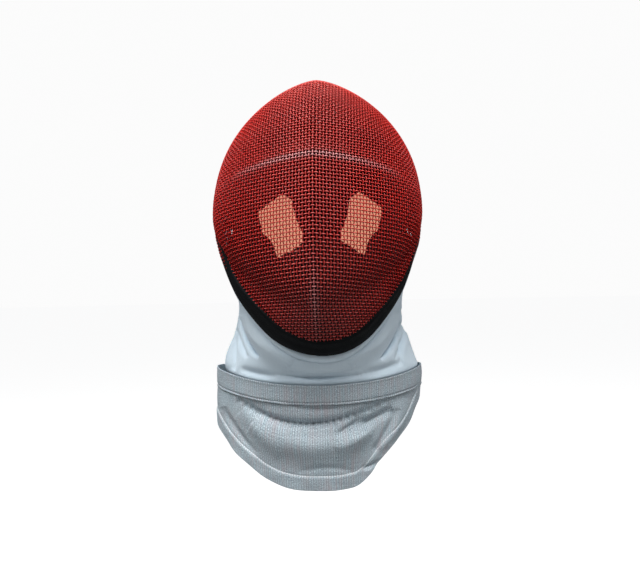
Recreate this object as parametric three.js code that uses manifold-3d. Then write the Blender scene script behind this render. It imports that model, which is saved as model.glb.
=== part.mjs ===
// Foil fencing mask: a woven steel bowl with a centre keel, its black edge trim,
// the padding and sprung tongue inside it, a white cloth bib and a silver lame panel.
// Millimetres, +Z up, the face looks along -Y. The origin is where the head's crown
// touches the crown pad.
import * as THREE from 'three';
import { mergeVertices } from 'three/addons/utils/BufferGeometryUtils.js';
import Module from 'manifold-3d';

const wasm = await Module();
wasm.setup();

// Driving sizes
const BOWL_CENTRE = { y: -6, z: -112 };
const BOWL_HALF_WIDTH = 99.2;
const MESH_WALL = 2.4;
const GAP = 0.3;
const SEAM_Y = 5;
const TRIM_HALF_WIDTH = 9;
const TRIM_CLOTH = 1.4;
const TRIM_LIP = 2.5;
const PAD_THICKNESS = 11.6;
const PAD_FRONT_Y = -8;
const BIB_CLOTH = 2.5;
const LAME_CLOTH = 1.5;
const LAME_STANDOFF = 0.8;
const BODY_REACH = 150;

// Facets of the soft and woven walls
const BOWL_TURNS = 39;
const BOWL_RINGS = 9;
const BIB_ROWS = 10;
const BIB_COLUMNS = 12;
const LAME_ROWS = 5;
const BACK_STEPS = 8;
const WING_STEPS = 9;
const TRIM_STEPS = 30;

// The bowl in side view, in polar form about BOWL_CENTRE. angle: degrees up from
// straight ahead. radius: out to the keel. fullness and roundness: the exponents of
// the width across the bowl at that angle.
const BOWL_PROFILE = [
  { angle: -63, radius: 152, fullness: 1.6, roundness: 2.0 },
  { angle: -52, radius: 144.3, fullness: 2.0, roundness: 1.5 },
  { angle: -45, radius: 141.5, fullness: 2.15, roundness: 1.04 },
  { angle: -39, radius: 138, fullness: 2.3, roundness: 1.0 },
  { angle: -33, radius: 133, fullness: 2.38, roundness: 1.0 },
  { angle: -28, radius: 127, fullness: 2.48, roundness: 1.0 },
  { angle: -10, radius: 111.4, fullness: 2.55, roundness: 1.0 },
  { angle: 8, radius: 100.8, fullness: 2.55, roundness: 1.0 },
  { angle: 21.7, radius: 97, fullness: 2.55, roundness: 1.0 },
  { angle: 32, radius: 94.5, fullness: 2.5, roundness: 1.05 },
  { angle: 51, radius: 99, fullness: 2.35, roundness: 1.2 },
  { angle: 65, radius: 105, fullness: 2.25, roundness: 1.35 },
  { angle: 78, radius: 112.3, fullness: 2.2, roundness: 1.5 },
  { angle: 94.5, radius: 127.4, fullness: 2.2, roundness: 1.5 },
  { angle: 106, radius: 135.4, fullness: 2.2, roundness: 1.5 },
  { angle: 117, radius: 138.5, fullness: 2.2, roundness: 1.5 },
  { angle: 130, radius: 135, fullness: 2.2, roundness: 1.5 },
  { angle: 150, radius: 125, fullness: 2.2, roundness: 1.55 },
  { angle: 180, radius: 116, fullness: 2.2, roundness: 1.6 },
  { angle: 225, radius: 134, fullness: 2.0, roundness: 1.55 },
  { angle: 270, radius: 150, fullness: 2.1, roundness: 1.7 },
];

// The pressed crease across the forehead: a cusp on the profile that fades at the sides.
const CREASE = { angle: 26.2, lift: 2.3, spread: 11, fadeFrom: 0.5, fadeTo: 0.68 };

// Middle of the edge trim in side view, from under the chin, up the jaw, past the
// ear and up to the back of the crown. Both ends run on past the bowl.
const TRIM_LINE = [
  { y: -110, z: -252 },
  { y: -89, z: -246 },
  { y: -81, z: -240.3 },
  { y: -74, z: -230.3 },
  { y: -68, z: -215 },
  { y: -59.8, z: -200 },
  { y: -49.5, z: -184 },
  { y: -40.5, z: -166 },
  { y: -31.5, z: -149.5 },
  { y: -10, z: -134 },
  { y: 30, z: -118 },
  { y: 62, z: -101.5 },
  { y: 80, z: -83.5 },
  { y: 92, z: -67.5 },
  { y: 99, z: -56 },
  { y: 115, z: -31 },
];

// Side wings: padded flaps beside the ears. The section runs from front to inner edge.
const WING_THICKNESS = 7;
const WING_HEIGHTS = [
  { z: -101, front: 46, side: 73, inner: 69.5 },
  { z: -109, front: 36, side: 77, inner: 68.5 },
  { z: -121, front: 18, side: 80.5, inner: 66 },
  { z: -137, front: -4, side: 83.5, inner: 61.5 },
  { z: -160, front: -18, side: 81, inner: 54.5 },
  { z: -190, front: -16, side: 75, inner: 52 },
  { z: -215, front: -6, side: 71, inner: 53 },
  { z: -228, front: 14, side: 68, inner: 57 },
];
const WING_BACK_Y = 62;
const WING_INNER_Y = 66;

// Sprung tongue and the pad on its end, as heights with their depth and half-width.
const TONGUE_THICKNESS = 3.5;
const TONGUE_BOW = 0.0105;
const TONGUE_ROWS = [
  { z: -66, y: 98.2, half: 26 },
  { z: -76, y: 99.3, half: 30 },
  { z: -79.5, y: 99.5, half: 42 },
  { z: -84, y: 99.5, half: 43.5 },
  { z: -91, y: 99.5, half: 31.5 },
  { z: -105, y: 99.2, half: 29.5 },
  { z: -116, y: 99, half: 26 },
  { z: -127, y: 99, half: 21 },
  { z: -150, y: 98.6, half: 20 },
];
const HEAD_PAD_BOW = 0.0042;
const HEAD_PAD_ROWS = [
  { z: -132, y: 88, half: 20, thick: 5 },
  { z: -138, y: 87.5, half: 28, thick: 9 },
  { z: -147, y: 87, half: 42, thick: 12 },
  { z: -157, y: 86.5, half: 55, thick: 13 },
  { z: -178, y: 86, half: 60, thick: 14 },
  { z: -205, y: 86, half: 61, thick: 13.5 },
  { z: -222, y: 86, half: 56, thick: 13 },
  { z: -238, y: 86.5, half: 42, thick: 11 },
  { z: -252, y: 87, half: 24, thick: 6 },
];

// Bib: it hangs from the trim. turn: degrees round the neck from the front.
const BIB_TURN = 116;
const BIB_REAR_Y = 30;
const BIB_WAIST = { halfWidth: 94, depth: 70, y: 12, zFront: -276, zSide: -265 };
const BIB_HEM = { halfWidth: 95, depth: 68, y: 12, zFront: -371, rise: 64, power: 2.8 };
const BIB_NECK_PINCH = 13;

const COLOURS = {
  mesh: 0x8c1f1c,
  trim: 0x0c0c0e,
  padding: 0x111113,
  bib: 0xd3dce4,
  lame: 0x9a9a9e,
};

const radians = (degrees) => (degrees * Math.PI) / 180;

const smooth = (from, to, value) => {
  const t = Math.min(Math.max((value - from) / (to - from), 0), 1);
  return t * t * (3 - 2 * t);
};

// Smooth curve through a table's rows: the value of one column at a key.
function along(rows, keyName, column, key, period = 0) {
  const turns = period ? [-period, 0, period] : [0];
  const keys = turns.flatMap((turn) => rows.map((row) => row[keyName] + turn));
  const values = turns.flatMap(() => rows.map((row) => row[column]));
  const last = keys.length - 1;
  const rising = keys[last] > keys[0] ? 1 : -1;
  let i = 0;
  while (i < last - 1 && rising * key >= rising * keys[i + 1]) i += 1;
  const step = (k) => keys[k + 1] - keys[k];
  const rise = (k) => (values[k + 1] - values[k]) / step(k);
  const tangent = (k) => {
    if (k === 0) return rise(0);
    if (k === last) return rise(last - 1);
    return (rise(k - 1) * step(k) + rise(k) * step(k - 1)) / (step(k) + step(k - 1));
  };
  const t = (key - keys[i]) / step(i);
  const hold = 2 * t ** 3 - 3 * t ** 2;
  const leave = (t ** 3 - 2 * t ** 2 + t) * step(i) * tangent(i);
  const arrive = (t ** 3 - t ** 2) * step(i) * tangent(i + 1);
  return (hold + 1) * values[i] + leave - hold * values[i + 1] + arrive;
}

const profile = (angle, column) => along(BOWL_PROFILE, 'angle', column, angle, 360);

// Distance from the bowl's centre to its keel, with the crease where it hasn't faded.
function bowlRadius(angle, share) {
  const cusp = Math.exp(-Math.abs(angle - CREASE.angle) / CREASE.spread);
  const fade = smooth(CREASE.fadeFrom, CREASE.fadeTo, share);
  return profile(angle, 'radius') + CREASE.lift * cusp * fade;
}

// A point of the bowl's surface, grown outward by offset, at an angle and share of radius.
function bowlPoint(angle, share, offset) {
  const radius = (bowlRadius(angle, share) + offset) * share;
  const fullness = profile(angle, 'fullness');
  const roundness = profile(angle, 'roundness');
  const width = Math.max(1 - share ** fullness, 0) ** (1 / roundness);
  return {
    x: (BOWL_HALF_WIDTH + offset) * width,
    y: BOWL_CENTRE.y - radius * Math.cos(radians(angle)),
    z: BOWL_CENTRE.z + radius * Math.sin(radians(angle)),
  };
}

// Half-width of the bowl at a side-view point, or 0 outside it.
function bowlHalfWidth(y, z, offset) {
  const ahead = BOWL_CENTRE.y - y;
  const above = z - BOWL_CENTRE.z;
  let angle = (Math.atan2(above, ahead) * 180) / Math.PI;
  if (angle < -90) angle += 360;
  const reach = Math.hypot(ahead, above);
  const share = reach / (profile(angle, 'radius') + offset);
  const radius = bowlRadius(angle, share) + offset;
  const room = 1 - (reach / radius) ** profile(angle, 'fullness');
  if (room <= 0) return 0;
  return (BOWL_HALF_WIDTH + offset) * room ** (1 / profile(angle, 'roundness'));
}

function geometryOf(points, faces) {
  const geometry = new THREE.BufferGeometry();
  const flat = points.flatMap((p) => [p.x, p.y, p.z]);
  geometry.setAttribute('position', new THREE.Float32BufferAttribute(flat, 3));
  geometry.setIndex(faces);
  return geometry;
}

function solidOf(geometry) {
  const bare = geometry.clone();
  bare.deleteAttribute('normal');
  bare.deleteAttribute('uv');
  const merged = mergeVertices(bare, 1e-4);
  return new wasm.Manifold(new wasm.Mesh({
    numProp: 3,
    vertProperties: Float32Array.from(merged.attributes.position.array),
    triVerts: Uint32Array.from(merged.index.array),
  }));
}

function geometryFrom(solid) {
  const mesh = solid.getMesh();
  const geometry = new THREE.BufferGeometry();
  const places = Float32Array.from(mesh.vertProperties);
  geometry.setAttribute('position', new THREE.BufferAttribute(places, 3));
  geometry.setIndex(Array.from(mesh.triVerts));
  return geometry.toNonIndexed();
}

// The whole bowl as a closed solid: rings of constant share from one side pole to the
// keel and on to the other pole. Shares bunch towards the keel, where the width falls.
function bowlSolid(offset, turns = BOWL_TURNS, rings = BOWL_RINGS) {
  const points = [{ x: BOWL_HALF_WIDTH + offset, ...BOWL_CENTRE }];
  const shares = [];
  for (let i = 1; i <= rings; i += 1) shares.push(Math.sin((Math.PI / 2) * (i / rings)) ** 0.8);
  const across = [...shares.map((s) => [s, 1]), ...shares.slice(0, -1).reverse().map((s) => [s, -1])];
  across.forEach(([share, side]) => {
    for (let k = 0; k < turns; k += 1) {
      const angle = -90 + (360 * k) / turns;
      const p = bowlPoint(angle, share, offset);
      points.push({ x: side * p.x, y: p.y, z: p.z });
    }
  });
  points.push({ x: -BOWL_HALF_WIDTH - offset, ...BOWL_CENTRE });
  const last = points.length - 1;
  const at = (ring, k) => 1 + ring * turns + (k % turns);
  const faces = [];
  for (let k = 0; k < turns; k += 1) {
    faces.push(0, at(0, k), at(0, k + 1));
    for (let ring = 0; ring < across.length - 1; ring += 1) {
      faces.push(at(ring, k), at(ring + 1, k), at(ring + 1, k + 1));
      faces.push(at(ring, k), at(ring + 1, k + 1), at(ring, k + 1));
    }
    faces.push(last, at(across.length - 1, k + 1), at(across.length - 1, k));
  }
  return outward(solidOf(geometryOf(points, faces)), points, faces);
}

// The same shell with its faces turned round if its volume came out negative.
function outward(solid, points, faces) {
  if (solid.volume() > 0) return solid;
  const turned = [];
  for (let i = 0; i < faces.length; i += 3) turned.push(faces[i], faces[i + 2], faces[i + 1]);
  return solidOf(geometryOf(points, turned));
}

const trimCurve = new THREE.SplineCurve(TRIM_LINE.map((p) => new THREE.Vector2(p.y, p.z)));

// Side-view trim line moved towards the bowl's middle (plus) or off its edge (minus).
function trimLine(shift, steps = TRIM_STEPS) {
  const line = [];
  for (let i = 0; i <= steps; i += 1) {
    const p = trimCurve.getPoint(i / steps);
    const t = trimCurve.getTangent(i / steps);
    line.push(new THREE.Vector2(p.x - t.y * shift, p.y + t.x * shift));
  }
  return line;
}

// A side-view outline stretched across the bowl from x = from to x = to.
function sideBlock(outline, from = -BODY_REACH, to = BODY_REACH) {
  const shape = new THREE.Shape(outline);
  const geometry = new THREE.ExtrudeGeometry(shape, { depth: to - from, bevelEnabled: false });
  const basis = new THREE.Matrix4().makeBasis(
    new THREE.Vector3(0, 1, 0),
    new THREE.Vector3(0, 0, 1),
    new THREE.Vector3(1, 0, 0),
  );
  geometry.applyMatrix4(basis);
  geometry.translate(from, 0, 0);
  return solidOf(geometry);
}

// Everything on the bowl's side of the trim line moved by shift.
function bowlSide(shift) {
  const line = trimLine(shift);
  const over = [new THREE.Vector2(140, 60), new THREE.Vector2(-160, 60), new THREE.Vector2(-160, -270)];
  return sideBlock([...line, ...over]);
}

function sideBand(low, high) {
  return sideBlock([...trimLine(low), ...trimLine(high).reverse()]);
}

const shell = (outer, inner) => bowlSolid(outer).subtract(bowlSolid(inner));

const halfSpace = (fromY, toY) => {
  const box = [[fromY, -300], [toY, -300], [toY, 60], [fromY, 60]];
  return sideBlock(box.map(([y, z]) => new THREE.Vector2(y, z)));
};

// A closed solid between an outer and an inner sheet of points, joined round the rim.
// Both are grids given as rows of points.
function sheetSolid(outer, inner) {
  const rows = outer.length;
  const columns = outer[0].length;
  const points = [...outer.flat(), ...inner.flat()];
  const top = (i, j) => i * columns + j;
  const under = (i, j) => rows * columns + i * columns + j;
  const faces = [];
  for (let i = 0; i < rows - 1; i += 1) {
    for (let j = 0; j < columns - 1; j += 1) {
      faces.push(top(i, j), top(i, j + 1), top(i + 1, j + 1));
      faces.push(top(i, j), top(i + 1, j + 1), top(i + 1, j));
      faces.push(under(i, j), under(i + 1, j + 1), under(i, j + 1));
      faces.push(under(i, j), under(i + 1, j), under(i + 1, j + 1));
    }
  }
  const rim = [];
  for (let j = 0; j < columns - 1; j += 1) rim.push([0, j]);
  for (let i = 0; i < rows - 1; i += 1) rim.push([i, columns - 1]);
  for (let j = columns - 1; j > 0; j -= 1) rim.push([rows - 1, j]);
  for (let i = rows - 1; i > 0; i -= 1) rim.push([i, 0]);
  rim.forEach(([i, j], k) => {
    const [ni, nj] = rim[(k + 1) % rim.length];
    faces.push(top(i, j), under(i, j), under(ni, nj));
    faces.push(top(i, j), under(ni, nj), top(ni, nj));
  });
  return outward(solidOf(geometryOf(points, faces)), points, faces);
}

// Moves each point of a grid along the sheet's own normal. amount(i, j) may vary.
function offsetGrid(grid, amount) {
  const rows = grid.length;
  const columns = grid[0].length;
  const vector = (p) => new THREE.Vector3(p.x, p.y, p.z);
  return grid.map((row, i) => row.map((p, j) => {
    const down = vector(grid[Math.min(i + 1, rows - 1)][j]).sub(vector(grid[Math.max(i - 1, 0)][j]));
    const across = vector(row[Math.min(j + 1, columns - 1)]).sub(vector(row[Math.max(j - 1, 0)]));
    const normal = across.cross(down).normalize().multiplyScalar(amount(i, j));
    return { x: p.x + normal.x, y: p.y + normal.y, z: p.z + normal.z };
  }));
}

// ---- woven bowl, trim and padding ----

function wovenPanel(fromY, toY) {
  const edge = TRIM_HALF_WIDTH - TRIM_LIP;
  return shell(0, -MESH_WALL).intersect(bowlSide(-edge)).intersect(halfSpace(fromY, toY));
}

function edgeTrim() {
  const cloth = TRIM_CLOTH + GAP;
  const band = shell(cloth, -MESH_WALL - cloth).intersect(sideBand(-TRIM_HALF_WIDTH, TRIM_HALF_WIDTH));
  const edge = TRIM_HALF_WIDTH - TRIM_LIP;
  const slot = shell(GAP, -MESH_WALL - GAP).intersect(bowlSide(-edge - GAP));
  return band.subtract(slot);
}

function crownPad() {
  const face = -MESH_WALL - GAP;
  const reach = bowlSide(TRIM_HALF_WIDTH + GAP).intersect(halfSpace(PAD_FRONT_Y, 140));
  return shell(face, face - PAD_THICKNESS).intersect(reach);
}

// One wing: an arc in plan from its front edge round to its inner edge, at each height.
function sideWing(side) {
  const steps = WING_STEPS;
  const middle = WING_HEIGHTS.map((row) => {
    const line = [];
    for (let j = 0; j <= steps; j += 1) {
      const t = j / steps;
      const turn = smooth(0.35, 1, t);
      const y = row.front + (WING_INNER_Y - row.front) * (t - 0.12 * turn * t);
      const x = row.side + (row.inner - row.side) * turn;
      line.push({ x: side * x, y: Math.min(y, WING_BACK_Y), z: row.z });
    }
    return line;
  });
  const last = WING_HEIGHTS.length - 1;
  const half = (i, j) => {
    const rim = Math.min(i, last - i, j, steps - j) === 0 ? 0.45 : 1;
    return (WING_THICKNESS / 2) * rim;
  };
  return sheetSolid(offsetGrid(middle, half), offsetGrid(middle, (i, j) => -half(i, j)));
}

// A strap or pad set across the back of the head, row by row down its height.
function backPiece(rows, bow, thickness) {
  const steps = BACK_STEPS;
  const middle = rows.map((row) => {
    const line = [];
    for (let j = 0; j <= steps; j += 1) {
      const x = row.half * ((2 * j) / steps - 1);
      line.push({ x, y: row.y - bow * x * x, z: row.z });
    }
    return line;
  });
  const half = (i, j) => thickness(rows[i], Math.abs((2 * j) / steps - 1)) / 2;
  return sheetSolid(offsetGrid(middle, half), offsetGrid(middle, (i, j) => -half(i, j)));
}

const tongue = () => backPiece(TONGUE_ROWS, TONGUE_BOW, () => TONGUE_THICKNESS);

const headPad = () => backPiece(HEAD_PAD_ROWS, HEAD_PAD_BOW, (row, out) => row.thick * (1 - 0.55 * out ** 3));

// ---- bib and lame panel ----

// The bib's top edge on one side: the bowl's edge just below the trim, from the chin
// to the rear corner, as a list of points with x >= 0.
function bibTopEdge(steps) {
  const line = trimLine(-TRIM_HALF_WIDTH - 0.6, 200);
  const edge = [];
  line.forEach((p) => {
    const x = bowlHalfWidth(p.x, p.y, -BIB_CLOTH / 2 + 0.6);
    if (x > 0 && p.x < BIB_REAR_Y) edge.push(new THREE.Vector3(x, p.x, p.y));
  });
  edge.unshift(new THREE.Vector3(0, edge[0].y, edge[0].z));
  const curve = new THREE.CatmullRomCurve3(edge);
  return curve.getSpacedPoints(steps);
}

// A U-shaped line round the neck: turn 0 is the front, 90 the side.
function neckPoint(level, turn) {
  const a = radians(turn);
  const x = level.halfWidth * Math.sin(a) ** 0.92;
  return { x, y: level.y - level.depth * Math.cos(a) };
}

function bibGuides(turn, top) {
  const waist = neckPoint(BIB_WAIST, turn);
  const side = Math.sin(radians(turn)) ** 2;
  waist.z = BIB_WAIST.zFront + (BIB_WAIST.zSide - BIB_WAIST.zFront) * side;
  const hem = neckPoint(BIB_HEM, turn);
  const out = turn > 90 ? 1 : hem.x / BIB_HEM.halfWidth;
  hem.z = BIB_HEM.zFront + BIB_HEM.rise * out ** BIB_HEM.power;
  const neck = {
    x: (top.x + waist.x) / 2 - BIB_NECK_PINCH * side,
    y: (top.y + waist.y) / 2,
    z: (top.z + waist.z) / 2,
  };
  return [top, neck, waist, hem].map((p) => new THREE.Vector3(p.x, p.y, p.z));
}

// Rows of points from one rear edge round the front to the other, between two levels:
// 0 is the top edge, 2 the waist where the lame begins, 3 the hem.
function bibGrid(from, to, rows, columns) {
  const top = bibTopEdge(columns);
  const half = [];
  for (let j = 0; j <= columns; j += 1) {
    const curve = new THREE.CatmullRomCurve3(bibGuides((BIB_TURN * j) / columns, top[j]));
    const line = [];
    for (let i = 0; i <= rows; i += 1) {
      const level = from + ((to - from) * i) / rows;
      line.push(curve.getPoint(level / 3));
    }
    half.push(line);
  }
  const mirrored = half.slice(1).reverse().map((line) => line.map((p) => ({ x: -p.x, y: p.y, z: p.z })));
  const columnsOfPoints = [...mirrored, ...half];
  const grid = [];
  for (let i = 0; i <= rows; i += 1) grid.push(columnsOfPoints.map((line) => line[i]));
  return grid;
}

function bib() {
  const middle = bibGrid(0, 2.95, BIB_ROWS, BIB_COLUMNS);
  const half = BIB_CLOTH / 2;
  const cloth = sheetSolid(offsetGrid(middle, () => half), offsetGrid(middle, () => -half));
  return cloth.subtract(bowlSide(-TRIM_HALF_WIDTH - GAP));
}

function lamePanel() {
  const middle = bibGrid(2.02, 3, LAME_ROWS, BIB_COLUMNS);
  const inner = BIB_CLOTH / 2 + LAME_STANDOFF;
  return sheetSolid(
    offsetGrid(middle, () => -(inner + LAME_CLOTH)),
    offsetGrid(middle, () => -inner),
  );
}

// ---- assembly ----

const group = new THREE.Group();

function add(name, solid, colour, roughness, metalness) {
  const material = new THREE.MeshStandardMaterial({ color: colour, roughness, metalness });
  const mesh = new THREE.Mesh(geometryFrom(solid), material);
  mesh.name = name;
  group.add(mesh);
}

add('front_mesh', wovenPanel(-160, SEAM_Y - GAP / 2), COLOURS.mesh, 0.35, 0.6);
add('back_mesh', wovenPanel(SEAM_Y + GAP / 2, 140), COLOURS.mesh, 0.35, 0.6);
add('edge_trim', edgeTrim(), COLOURS.trim, 0.6, 0);
add('crown_pad', crownPad(), COLOURS.padding, 0.95, 0);
add('side_wing_right', sideWing(1), COLOURS.padding, 0.95, 0);
add('side_wing_left', sideWing(-1), COLOURS.padding, 0.95, 0);
add('tongue', tongue(), COLOURS.padding, 0.95, 0);
add('head_pad', headPad(), COLOURS.padding, 0.95, 0);
add('bib', bib(), COLOURS.bib, 0.9, 0);
add('bib_lame', lamePanel(), COLOURS.lame, 0.5, 0.5);

export default group;
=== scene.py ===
"""Foil fencing mask: woven red wire bowl, black trim and padding, white bib, silver panel."""
import math

import bpy
import numpy as np
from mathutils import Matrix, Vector


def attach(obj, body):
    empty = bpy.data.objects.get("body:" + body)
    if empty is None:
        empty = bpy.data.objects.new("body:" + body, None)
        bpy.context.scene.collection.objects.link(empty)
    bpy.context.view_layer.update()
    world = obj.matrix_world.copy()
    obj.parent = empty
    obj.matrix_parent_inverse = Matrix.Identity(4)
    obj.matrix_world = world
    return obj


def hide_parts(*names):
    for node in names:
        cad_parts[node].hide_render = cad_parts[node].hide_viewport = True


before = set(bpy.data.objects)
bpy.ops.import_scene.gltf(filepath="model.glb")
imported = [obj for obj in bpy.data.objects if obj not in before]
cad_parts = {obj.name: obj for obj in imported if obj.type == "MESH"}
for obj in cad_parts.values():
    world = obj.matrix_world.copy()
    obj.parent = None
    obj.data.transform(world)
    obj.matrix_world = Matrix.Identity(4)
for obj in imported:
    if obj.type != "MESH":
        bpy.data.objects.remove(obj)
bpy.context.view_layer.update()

# ---------------------------------------------------------------- sizes, in millimetres
MM = 0.001
BOWL_CENTRE_Y, BOWL_CENTRE_Z = -6.0, -112.0
BOWL_HALF_WIDTH = 99.2
SEAM_Y = 5.0
SEAM_RADIUS = 1.3
ROW_PITCH = 3.4
COLUMN_PITCH = 3.15
WIRE_RADIUS = 0.50
WIRE_SIDES = 6
CRIMP = 0.56
# how strong the painted highlight on the two sets of wires is against their painted shade, and how far
# the weave runs in under the trim
CROSS_PAINTED_LIGHT = 1.0
LONG_PAINTED_LIGHT = 0.8
WEAVE_LAP = 5.5
TRIM_HALF_WIDTH = 9.0
BIB_TURN = 116.0
BIB_REAR_Y = 30.0

# angle up from straight ahead, keel radius, fullness and roundness of the bowl's width
BOWL_PROFILE = np.array([
    (-63, 152, 1.6, 2.0), (-52, 144.3, 2.0, 1.5), (-45, 141.5, 2.15, 1.04),
    (-39, 138, 2.3, 1.0), (-33, 133, 2.38, 1.0), (-28, 127, 2.48, 1.0),
    (-10, 111.4, 2.55, 1.0), (8, 100.8, 2.55, 1.0), (21.7, 97, 2.55, 1.0),
    (32, 94.5, 2.5, 1.05), (51, 99, 2.35, 1.2), (65, 105, 2.25, 1.35),
    (78, 112.3, 2.2, 1.5), (94.5, 127.4, 2.2, 1.5), (106, 135.4, 2.2, 1.5),
    (117, 138.5, 2.2, 1.5), (130, 135, 2.2, 1.5), (150, 125, 2.2, 1.55),
    (180, 116, 2.2, 1.6), (225, 134, 2.0, 1.55), (270, 150, 2.1, 1.7),
], float)
ANGLE, RADIUS, FULLNESS, ROUNDNESS = range(4)
CREASE = {"angle": 26.2, "lift": 2.3, "spread": 11.0, "fade_from": 0.5, "fade_to": 0.68}

# middle of the trim in side view: y, z
TRIM_LINE = np.array([
    (-110, -252), (-89, -246), (-81, -240.3), (-74, -230.3), (-68, -215), (-59.8, -200),
    (-49.5, -184), (-40.5, -166), (-31.5, -149.5), (-10, -134), (30, -118), (62, -101.5),
    (80, -83.5), (92, -67.5), (99, -56), (115, -31),
], float)
# wear has pulled the trim down on one side of the chin and up on the other
TRIM_SAG = 4.5


# ---------------------------------------------------------------- the bowl's surface
def smooth_step(low, high, value):
    t = np.clip((value - low) / (high - low), 0, 1)
    return t * t * (3 - 2 * t)


def through(keys, values, where):
    """Smooth curve through (key, value) pairs, with the tangents of a spline."""
    step = np.diff(keys)
    rise = np.diff(values) / step
    tangent = np.empty_like(values)
    tangent[1:-1] = (rise[:-1] * step[1:] + rise[1:] * step[:-1]) / (step[1:] + step[:-1])
    tangent[0], tangent[-1] = rise[0], rise[-1]
    i = np.clip(np.searchsorted(keys, where, side="right") - 1, 0, len(keys) - 2)
    t = (where - keys[i]) / step[i]
    hold = 2 * t**3 - 3 * t**2
    leave = (t**3 - 2 * t**2 + t) * step[i] * tangent[i]
    arrive = (t**3 - t**2) * step[i] * tangent[i + 1]
    return (hold + 1) * values[i] + leave - hold * values[i + 1] + arrive


def profile(angle, column):
    rows = BOWL_PROFILE
    keys = np.concatenate([rows[:, ANGLE] - 360, rows[:, ANGLE], rows[:, ANGLE] + 360])
    return through(keys, np.tile(rows[:, column], 3), angle)


def keel_radius(angle, share=1.0):
    cusp = np.exp(-np.abs(angle - CREASE["angle"]) / CREASE["spread"])
    fade = smooth_step(CREASE["fade_from"], CREASE["fade_to"], share)
    return profile(angle, RADIUS) + CREASE["lift"] * cusp * fade


def half_width(y, z, offset=0.0):
    """Half-width of the bowl, grown by offset, at side-view points; -1 outside it."""
    ahead, above = BOWL_CENTRE_Y - y, z - BOWL_CENTRE_Z
    angle = np.degrees(np.arctan2(above, ahead))
    angle = np.where(angle < -90, angle + 360, angle)
    reach = np.hypot(ahead, above)
    share = reach / (profile(angle, RADIUS) + offset)
    room = 1 - (reach / (keel_radius(angle, share) + offset)) ** profile(angle, FULLNESS)
    width = (BOWL_HALF_WIDTH + offset) * np.maximum(room, 0) ** (1 / profile(angle, ROUNDNESS))
    return np.where(room > 0, width, -1.0)


def keel_point(angle, offset=0.0):
    radius = keel_radius(angle) + offset
    turn = np.radians(angle)
    return np.stack([BOWL_CENTRE_Y - radius * np.cos(turn), BOWL_CENTRE_Z + radius * np.sin(turn)], -1)


def evenly(points, spacing=None, count=None):
    """Points at even arc length along a polyline, either a spacing apart or so many."""
    run = np.concatenate([[0], np.cumsum(np.linalg.norm(np.diff(points, axis=0), axis=1))])
    at = np.arange(0, run[-1], spacing) if count is None else np.linspace(0, run[-1], count)
    return np.stack([np.interp(at, run, points[:, k]) for k in range(points.shape[1])], -1)


def spline_through(points, steps_each):
    """Uniform spline through side-view points, as a fine polyline."""
    line = []
    last = len(points) - 1
    for i in range(last):
        a, b = points[max(i - 1, 0)], points[i]
        c, d = points[i + 1], points[min(i + 2, last)]
        for t in np.arange(steps_each) / steps_each:
            line.append(0.5 * (2 * b + (c - a) * t + (2 * a - 5 * b + 4 * c - d) * t * t
                               + (3 * b - a - 3 * c + d) * t**3))
    return np.array(line + [points[last]])


TRIM_PATH = spline_through(TRIM_LINE, 16)
TRIM_TANGENT = np.gradient(TRIM_PATH, axis=0)
TRIM_TANGENT /= np.linalg.norm(TRIM_TANGENT, axis=1)[:, None]
TRIM_INWARD = np.stack([-TRIM_TANGENT[:, 1], TRIM_TANGENT[:, 0]], -1)


def trim_shift(y, z):
    """Signed distance of side-view points from the trim's middle, positive on the bowl."""
    flat = np.stack([np.ravel(y), np.ravel(z)], -1)
    gap = flat[:, None, :] - TRIM_PATH[None, :, :]
    near = np.argmin((gap**2).sum(-1), axis=1)
    picked = gap[np.arange(len(flat)), near]
    return (picked * TRIM_INWARD[near]).sum(-1).reshape(np.shape(y))


def sag_shift(x, y):
    """How far the trim's middle has moved onto the bowl at a point."""
    return -TRIM_SAG * np.tanh(x / 30) * smooth_step(60, -10, y)


# ---------------------------------------------------------------- making pieces
def deselect():
    bpy.ops.object.select_all(action="DESELECT")


def activate(obj):
    deselect()
    obj.select_set(True)
    bpy.context.view_layer.objects.active = obj


def read_points(obj):
    flat = np.empty(3 * len(obj.data.vertices))
    obj.data.vertices.foreach_get("co", flat)
    return flat.reshape(-1, 3) / MM


def write_points(obj, points):
    obj.data.vertices.foreach_set("co", (np.asarray(points) * MM).ravel())
    obj.data.update()


def corner_points(obj):
    """The point that each corner of each face stands on."""
    corners = np.empty(len(obj.data.loops), int)
    obj.data.loops.foreach_get("vertex_index", corners)
    return corners


def mesh_from_arrays(name, points, faces):
    mesh = bpy.data.meshes.new(name)
    mesh.from_pydata((points * MM).tolist(), [], faces)
    obj = bpy.data.objects.new(name, mesh)
    bpy.context.scene.collection.objects.link(obj)
    mesh.shade_smooth()
    return obj


def named(name):
    obj = bpy.context.object
    obj.name = name
    obj.data.name = name
    obj.data.shade_smooth()
    return obj


def shaped_grid(name, grid, **maps):
    """A primitive grid with its points moved to grid[row][column], and its UV maps."""
    rows, columns = grid.shape[:2]
    deselect()
    bpy.ops.mesh.primitive_grid_add(
        x_subdivisions=columns - 1, y_subdivisions=rows - 1, size=2, calc_uvs=False)
    obj = named(name)
    flat = read_points(obj) * MM
    column = np.rint((flat[:, 0] + 1) / 2 * (columns - 1)).astype(int)
    row = np.rint((flat[:, 1] + 1) / 2 * (rows - 1)).astype(int)
    write_points(obj, grid[row, column])
    corners = corner_points(obj)
    for label, uv in maps.items():
        layer = obj.data.uv_layers.new(name=label)
        layer.data.foreach_set("uv", uv[row, column][corners].ravel())
    return obj


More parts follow.
